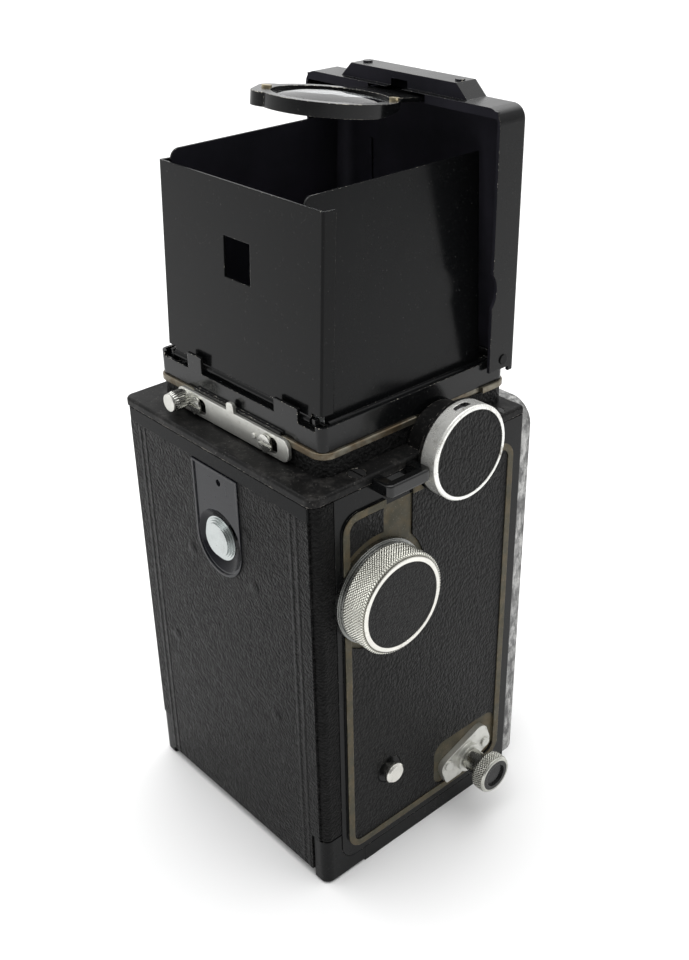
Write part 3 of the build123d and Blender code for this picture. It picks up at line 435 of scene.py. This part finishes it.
def strip_layers(g):
    """Grey-green paint on brass, rubbed through to bare metal."""
    patch = g.ramp(g.noise(230, 8, 0.75), 0.4, 0.65)
    specks = g.ramp(g.noise(1800, 3, 0.7), 0.62, 0.70)
    edge = g.edges(0.3 * MM, 0.02, 0.2)
    bare = g.mix(g.noise(600, 4), (0.125, 0.100, 0.060, 1), (0.085, 0.070, 0.045, 1))
    painted = g.mix(g.noise(500, 4), (0.055, 0.053, 0.038, 1), (0.080, 0.073, 0.052, 1))
    body = g.mix(patch, painted, bare)
    light = g.math("MAXIMUM", g.math("MULTIPLY", specks, 0.5),
                   g.math("MULTIPLY", edge, g.ramp(g.noise(700, 5), 0.4, 0.75)))
    colour = g.mix(light, body, (0.30, 0.28, 0.22, 1))
    metal = g.ramp(patch, 0, 1, 0.15, 0.5)
    roughness = g.ramp(g.noise(300, 5), 0.3, 0.7, 0.38, 0.6)
    return colour, metal, roughness


# How far down from its top the side plates' raised bead is bare.
BEAD_BARE = 0.25 * MM


def side_plate_finish(name, outer, strip_places, ring=None):
    """Black enamel, worn to metal on the raised bead, on bare strips and round the knob.

    outer is the X of the bead's top. strip_places are (low Y, high Y, low Z, high Z), and ring is
    (centre, radius, rearmost Y).
    """
    g = Graph(name)
    black, worn, rough_black, normal = gloss_layers(g, level=0.0035, rough=0.2, chips=0.6,
                                                    chip_width=0.25)
    bare, metal, rough_bare = strip_layers(g)
    share = g.math("GREATER_THAN", g.math("ABSOLUTE", g.axis("X")), abs(outer) - BEAD_BARE)
    for y0, y1, z0, z1 in strip_places:
        inside_place = g.math("MULTIPLY", g.within("Y", y0, y1), g.within("Z", z0, z1))
        share = g.math("MAXIMUM", share, inside_place)
    if ring:
        centre, radius, rear = ring
        near = g.math("LESS_THAN", g.from_axis(centre), radius)
        near = g.math("MULTIPLY", near, g.math("LESS_THAN", g.axis("Y"), rear))
        share = g.math("MAXIMUM", share, near)
    colour = g.mix(share, black, bare)
    kind = g.between(share, worn, metal)
    rough = g.between(share, rough_black, rough_bare)
    return g.finish(colour, kind, rough, normal, 0.14)


def worn_brass(name):
    """A metal band, brown and rubbed bright in places."""
    g = Graph(name)
    patch = g.ramp(g.noise(140, 6, 0.7), 0.35, 0.7)
    brown = g.mix(g.noise(800, 4), (0.075, 0.052, 0.030, 1), (0.15, 0.118, 0.075, 1))
    colour = g.mix(patch, brown, (0.22, 0.21, 0.17, 1))
    roughness = g.ramp(g.noise(500, 5), 0.3, 0.7, 0.3, 0.5)
    return g.finish(colour, 0.8, roughness, g.bump(g.noise(1400, 4), 0.03 * MM, 0.5))


def simple_metal(name, colour, rough):
    """Bare metal with a slight unevenness of tone and roughness."""
    g = Graph(name)
    tone = g.mix(g.noise(300, 5), (*colour, 1), (*[c * 0.8 for c in colour], 1))
    roughness = g.ramp(g.noise(200, 5), 0.3, 0.7, rough - 0.06, rough + 0.1)
    return g.finish(tone, 1.0, roughness, g.bump(g.noise(1500, 3), 0.01 * MM, 0.3))


def clear_glass(name, tint=(0.93, 0.96, 0.97), rough=0.0):
    """Glass with a faint smear; a large rough makes it ground glass."""
    g = glass_graph(name, ior=1.52)
    smear = g.ramp(g.noise(90, 5), 0.4, 0.8, rough, rough + 0.04)
    return g.finish((*tint, 1), 0.0, smear)


# ---------------------------------------------------------------- finishes of the nodes


knob_low, knob_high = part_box("winding_knob")
knob_r = (knob_high.z - knob_low.z) / 2
pull_low, pull_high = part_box("spool_pull_knob")
pull_r = (pull_high.z - pull_low.z) / 2
knob_mid = middle("winding_knob")
flange_low, flange_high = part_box("spool_flange")
latch_low, latch_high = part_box("hood_latch_bar")
plate_low, plate_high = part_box("right_side_plate")

# Where the right side plate is bare brass: a strip from the winding knob up, a patch round the
# flange of the pull knob, and a ring round the winding knob as far back as the plate's bead.
STRIP_FRONT, STRIP_REAR, STRIP_BELOW_TOP = 11.6 * MM, 1.7 * MM, 7.3 * MM
PATCH_BESIDE, PATCH_BELOW, PATCH_ABOVE = 4 * MM, 3 * MM, 2 * MM
bare_strips = [
    (knob_mid.y - STRIP_FRONT, knob_mid.y - STRIP_REAR,
     knob_mid.z, plate_high.z - STRIP_BELOW_TOP),
    (flange_low.y - PATCH_BESIDE, flange_high.y + PATCH_BESIDE,
     flange_low.z - PATCH_BELOW, flange_high.z + PATCH_ABOVE),
]
BARE_RING_R = 16.2 * MM
BEAD_WIDTH = 1.9 * MM
bare_ring = (knob_mid, BARE_RING_R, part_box("right_leather")[1].y + BEAD_WIDTH)

# The lens mounts are black inside these radii. The viewing glass is the upper and wider one.
VIEWING_INNER_R = 14.0 * MM
TAKING_INNER_R = 11.9 * MM
TAKING_GLASS_LESS = 1.8 * MM
glasses_low, glasses_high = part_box("lens_glasses")
viewing_r = (glasses_high.x - glasses_low.x) / 2
taking_r = viewing_r - TAKING_GLASS_LESS
viewing_axis = Vector((0, 0, glasses_high.z - viewing_r))
taking_axis = Vector((0, 0, glasses_low.z + taking_r))

# The knurled bands: how deep their roots lie under the knobs' rims, the height of their teeth, and
# where the winding knob's band starts and how long its chamfer is.
KNURL_SINK = 0.04 * MM
KNOB_TOOTH = 0.34 * MM
PULL_TOOTH = 0.3 * MM
KNOB_BAND_START = 0.12 * MM
KNOB_CHAMFER = 0.75 * MM

gloss = gloss_paint("gloss_black_enamel", shine=0.42)
magnifier_paint = gloss_paint("magnifier_enamel", chips=0.47, chip_width=0.3, shine=0.3,
                              top_shine=0.9)
skirt_paint = gloss_paint("skirt_enamel", level=0.0045, chips=0.53, shine=0.26)
escutcheon_paint = banded_paint("escutcheon_enamel", top=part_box("door_leather")[1].z)
satin = gloss_paint("satin_black_enamel", level=0.004, rough=0.24, chips=0.6, shine=0.12)
matte = dull_paint("matte_black_dusty", level=0.006, dust_level=0.05, chips=0.5, shine=0.1,
                   dusty=0.9)
inside = dull_paint("inner_black", level=0.006, rough=0.55, dust_level=0.012, chips=0.7)
satin_pins = gloss_paint("pin_enamel", level=0.006, rough=0.3, chips=0.7)
lid_paint = gloss_paint("lid_enamel", level=0.004, rough=0.2, chips=0.55, shine=0.18, top_shine=0.9,
                        dusty=0.5, inward=(0, 1, 0))
# Painted light: the right wall is the same black enamel as the other walls, given a lighter level
# to stand for the light on that side.
lit_right_wall_paint = gloss_paint("right_wall_enamel_lit", level=0.0055, shine=0.15, inward=(1, 0, 0))
left_wall_paint = gloss_paint("left_wall_enamel", inward=(-1, 0, 0))
back_wall_paint = gloss_paint("back_wall_enamel", inward=(0, -1, 0))
nickel = plated("nickel_plating", dirt=0.6)
button_nickel = plated("button_nickel", colour=(0.46, 0.49, 0.485), rough=0.26, dirt=0.12,
                       edge=0.07)
drum_nickel = drum_plating("drum_nickel", "counter_housing")
dull_nickel = plated("dull_nickel", colour=(0.62, 0.62, 0.58), rough=0.36, dirt=0.4, metal=0.85)
screw_nickel = screw_finish("screw_nickel", rear=latch_low.y - 1.0 * MM)
bright_trim = stained_trim("bright_trim")
dark_face = dark_faced("pull_knob_nickel", "spool_pull_knob", radius=pull_r - 0.9 * MM,
                       depth=1.2 * MM)
grey_metal = plated("grey_metal", colour=(0.26, 0.265, 0.255), rough=0.25, dirt=0.3)
steel = simple_metal("steel", (0.55, 0.55, 0.55), rough=0.3)
brass = simple_metal("brass", (0.55, 0.47, 0.30), rough=0.3)
right_plate = side_plate_finish("right_plate_paint", outer=plate_low.x,
                                strip_places=bare_strips, ring=bare_ring)
left_plate = side_plate_finish("left_plate_paint", outer=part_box("left_side_plate")[1].x,
                               strip_places=[])
band = worn_brass("worn_band")
side_leather = plain_leather("side_leatherette", turn=(-40, 0, 0))
knob_leather = plain_leather("knob_leatherette", turn=(0, 0, 0), long=1.0, level=0.009,
                             size=1900, deep=0.14)
door_wrap = plain_leather("door_wrap_leatherette", level=0.003, turn=(0, 38, 0), long=1.0,
                          size=1400, deep=0.3, shine=0.09)
door_leather = creased_leather("door_leatherette", *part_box("door_leather"))
front_leather = plain_leather("front_leatherette", turn=(0, 20, 0), long=0.8)
collar_leather = plain_leather("collar_leatherette", level=0.010, turn=(0, 0, 0), long=1.0)
glass = clear_glass("magnifier_glass")
lens_glass = coated_glass("lens_glass")
barrel = barrel_finish("lens_mount_nickel", [(viewing_axis, VIEWING_INNER_R),
                                             (taking_axis, TAKING_INNER_R)])
frosted = clear_glass("ground_glass", tint=(0.85, 0.87, 0.84), rough=0.5)
silvered = simple_metal("silvered_mirror", (0.9, 0.9, 0.9), rough=0.08)
dial_white = dull_paint("dial_white", level=0.7, rough=0.4, dust_level=0.5, chips=0.9)
ribbed_knob = plated_knurl("knob_knurl_nickel", "winding_knob", knob_r - KNURL_SINK, KNOB_TOOTH,
                           taper=KNOB_BAND_START + KNOB_CHAMFER)
ribbed_pull = plated_knurl("pull_knurl_nickel", "spool_pull_knob", pull_r - KNURL_SINK, PULL_TOOTH,
                           colour=(0.6, 0.6, 0.55))

FINISH = {
    gloss: ["strap_lugs"],
    magnifier_paint: ["magnifier_frame"],
    skirt_paint: ["hood_base"],
    escutcheon_paint: ["door_escutcheon"],
    back_wall_paint: ["hood_back_wall"],
    left_wall_paint: ["hood_left_wall"],
    lit_right_wall_paint: ["hood_right_wall"],
    lid_paint: ["hood_lid"],
    door_wrap: ["back_door"],
    satin: ["body_casting", "corner_covers", "front_plate", "lens_board", "shutter_housing"],
    matte: ["top_plate", "screen_collar"],
    inside: ["light_chamber", "mirror_bracket", "takeup_spool", "supply_spool", "pressure_plate"],
    drum_nickel: ["counter_housing"],
    dark_face: ["spool_pull_knob"],
    barrel: ["lens_barrels"],
    lens_glass: ["lens_glasses"],
    nickel: ["winding_knob", "lock_stud", "speed_ring", "aperture_lever",
             "cocking_lever", "release_lever", "focus_lever"],
    button_nickel: ["back_latch_button"],
    dull_nickel: ["hood_latch_bar", "spool_flange"],
    screw_nickel: ["cover_and_latch_screws"],
    bright_trim: ["front_trim", "lens_board_trim"],
    grey_metal: ["knob_base_ring"],
    steel: ["fixed_pins", "film_roller_top", "film_roller_bottom", "door_springs"],
    brass: ["tripod_bush", "magnifier_pin_and_rivets"],
    right_plate: ["right_side_plate"],
    left_plate: ["left_side_plate"],
    band: ["collar_bead"],
    side_leather: ["right_leather", "left_leather"],
    knob_leather: ["winding_knob_leather"],
    door_leather: ["door_leather"],
    front_leather: ["front_leather", "lens_board_leather"],
    collar_leather: ["collar_leather"],
    glass: ["magnifier_lens"],
    frosted: ["focusing_screen"],
    silvered: ["mirror"],
    dial_white: ["counter_dial"],
    satin_pins: ["hood_pins"],
}
for material, names in FINISH.items():
    for name in names:
        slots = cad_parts[name].data.materials
        slots.clear()
        slots.append(material)


# ---------------------------------------------------------------- knurled bands


def lathe_grid(name, rings, columns, place):
    """A band of quads. place(i, t) gives ring i's point at turn t, from 0 to 1."""
    points = [place(i, c / columns) for i in range(rings) for c in range(columns)]
    faces = []
    for i in range(rings - 1):
        for c in range(columns):
            d = (c + 1) % columns
            faces.append((i * columns + c, i * columns + d,
                          (i + 1) * columns + d, (i + 1) * columns + c))
    mesh = bpy.data.meshes.new(name)
    mesh.from_pydata(points, [], faces)
    mesh.update()
    piece = bpy.data.objects.new(name, mesh)
    bpy.context.scene.collection.objects.link(piece)
    return piece


def wave(value):
    """A triangle wave, 0 at whole numbers and 1 halfway between them."""
    return 1 - abs(2 * (value % 1.0) - 1)


# How finely a band is divided, over how many rings its teeth rise at an end, and how blunt they
# are: the further below 1 the power, the blunter the tooth.
COLUMNS_PER_TOOTH = 6
END_RINGS = 3
DIAMOND_POWER = 0.8
RIB_POWER = 0.7


def knurl(name, centre, along, radius, start, stop, teeth, deep, slant, rings, taper=0.0):
    """A knurled sleeve round an X or Y axis. slant is the diamonds' lean, 0 for straight ribs.

    radius is where the teeth have their roots and deep is their height. The sleeve narrows over
    the first taper metres.
    """
    step = (stop - start) / (rings - 1)
    pitch = 2 * math.pi * radius / teeth

    def place(i, turn):
        s = start + i * step
        if slant:
            lean = s / pitch * slant
            both = min(wave(turn * teeth + lean), wave(turn * teeth - lean))
            high = both ** DIAMOND_POWER
        else:
            high = wave(turn * teeth) ** RIB_POWER
        end = min(i, rings - 1 - i) / END_RINGS
        inset = max(0.0, taper - (s - start))
        r = radius - inset + deep * high * min(1.0, end)
        a, b = r * math.cos(2 * math.pi * turn), r * math.sin(2 * math.pi * turn)
        if along == "X":
            return (s, centre.y + a, centre.z + b)
        return (centre.x + a, s, centre.z + b)

    return lathe_grid(name, rings, teeth * COLUMNS_PER_TOOTH, place)


def ribbed(name, node, material, slot, **shape):
    """A knurled band on a node, in its own finish, moving with it."""
    piece = knurl(name, middle(node), **shape)
    piece.data.materials.append(material)
    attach(piece, node)


ribbed("winding_knob_knurl", "winding_knob", ribbed_knob, "nickel",
       along="X", radius=knob_r - KNURL_SINK,
       start=knob_low.x + KNOB_BAND_START, stop=knob_low.x + 6.75 * MM,
       teeth=104, deep=KNOB_TOOTH, slant=1.0, rings=56, taper=KNOB_CHAMFER)
ribbed("spool_pull_knurl", "spool_pull_knob", ribbed_pull, "nickel",
       along="X", radius=pull_r - KNURL_SINK,
       start=pull_low.x + 0.45 * MM, stop=pull_low.x + 3.7 * MM,
       teeth=46, deep=PULL_TOOTH, slant=1.0, rings=30)

# The latch bar's thumb knob: its radius, and how far in from the end and how far up from the foot
# of the bar's box its axis lies.
LATCH_KNOB_R = 2.3 * MM
LATCH_KNOB_IN, LATCH_KNOB_UP = 3.2 * MM, 3.3 * MM
thumb = Vector((latch_high.x - LATCH_KNOB_IN, latch_high.y, latch_low.z + LATCH_KNOB_UP))
thumb_ribs = knurl("latch_knob_ribs", thumb, along="Y", radius=LATCH_KNOB_R - 0.02 * MM,
                   start=latch_high.y - 4.9 * MM, stop=latch_high.y - 0.5 * MM,
                   teeth=22, deep=0.3 * MM, slant=0, rings=12)
thumb_ribs.data.materials.append(screw_nickel)
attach(thumb_ribs, "hood_latch_bar")


# ---------------------------------------------------------------- floor, light, camera


# Half the side of the floor, in metres, and its colour.
REACH = 6.0
PAPER = (0.9, 0.9, 0.9, 1)
floor_mesh = bpy.data.meshes.new("floor")
floor_mesh.from_pydata([(-REACH, -REACH, 0), (REACH, -REACH, 0), (REACH, REACH, 0),
                        (-REACH, REACH, 0)], [], [(0, 1, 2, 3)])
floor = bpy.data.objects.new("floor", floor_mesh)
bpy.context.scene.collection.objects.link(floor)
floor_mesh.materials.append(Graph("white_paper").finish(PAPER, metallic=0.0, roughness=0.9))

# The room's light rises from LOW_LEVEL at the horizon to 1 where a direction's upward part is
# FULL_AT. It falls from FAR_LEVEL beyond the object to NEAR_LEVEL behind the camera, between the
# parts FAR_PART and NEAR_PART of a direction along BEHIND_CAMERA.
LOW_LEVEL, FULL_AT = 0.75, 0.75
FAR_LEVEL, NEAR_LEVEL = 1.25, 0.4
FAR_PART, NEAR_PART = -0.5, 0.95
BEHIND_CAMERA = (-0.75, 0.66, 0.0)


def make_world():
    """A studio room: brighter beyond the object, darker behind the camera and low down."""
    world = bpy.data.worlds.new("studio_room")
    world.use_nodes = True
    world.node_tree.nodes.clear()
    g = Nodes(world.node_tree)
    way = g.node("TexCoord").outputs["Generated"]
    height = g.node("SeparateXYZ", {0: way}).outputs["Z"]
    rise = g.ramp(height, 0.0, FULL_AT, LOW_LEVEL, 1.0)
    facing = g.node("VectorMath", {0: way, 1: BEHIND_CAMERA}, operation="DOT_PRODUCT")
    side = g.ramp(facing.outputs["Value"], FAR_PART, NEAR_PART, FAR_LEVEL, NEAR_LEVEL)
    glow = g.node("Background", {0: (1, 1, 1, 1), 1: g.math("MULTIPLY", rise, side)})
    g.node("OutputWorld", {0: glow.outputs[0]})
    bpy.context.scene.world = world


def aimed_at(place, aim):
    """A matrix at place whose minus Z points at aim."""
    turn = (aim - place).to_track_quat("-Z", "Y").to_matrix().to_4x4()
    return Matrix.Translation(place) @ turn


def area_light(name, size, power, place, aim):
    """A square lamp of size metres and power watts."""
    data = bpy.data.lights.new(name, "AREA")
    data.shape = "SQUARE"
    data.size = size
    data.energy = power
    lamp = bpy.data.objects.new(name, data)
    lamp.matrix_world = aimed_at(Vector(place), Vector(aim))
    bpy.context.scene.collection.objects.link(lamp)


make_world()
area_light("overhead", size=2.6, power=42.0, place=(0.2, -0.1, 2.0), aim=(0.0, 0.0, 0.0))

# Where the photograph was taken from, worked out from the edges of the object's box.
CAMERA_PLACE = (-0.21480, 0.17963, 0.25501)
AZIMUTH, ELEVATION, ROLL = math.radians(-131.09), math.radians(29.53), math.radians(-1.18)
camera_data = bpy.data.cameras.new("camera")
camera_data.sensor_fit = "VERTICAL"
camera_data.sensor_height = 36.0
camera_data.lens = 45.27
camera_data.clip_start = 0.01
camera = bpy.data.objects.new("camera", camera_data)
bpy.context.scene.collection.objects.link(camera)
turn = Matrix.Rotation(AZIMUTH, 3, "Z") @ Matrix.Rotation(math.pi / 2 - ELEVATION, 3, "X")
turn = turn @ Matrix.Rotation(ROLL, 3, "Z")
camera.matrix_world = Matrix.Translation(CAMERA_PLACE) @ turn.to_4x4()
bpy.context.scene.camera = camera
bpy.context.scene.view_settings.view_transform = "Standard"
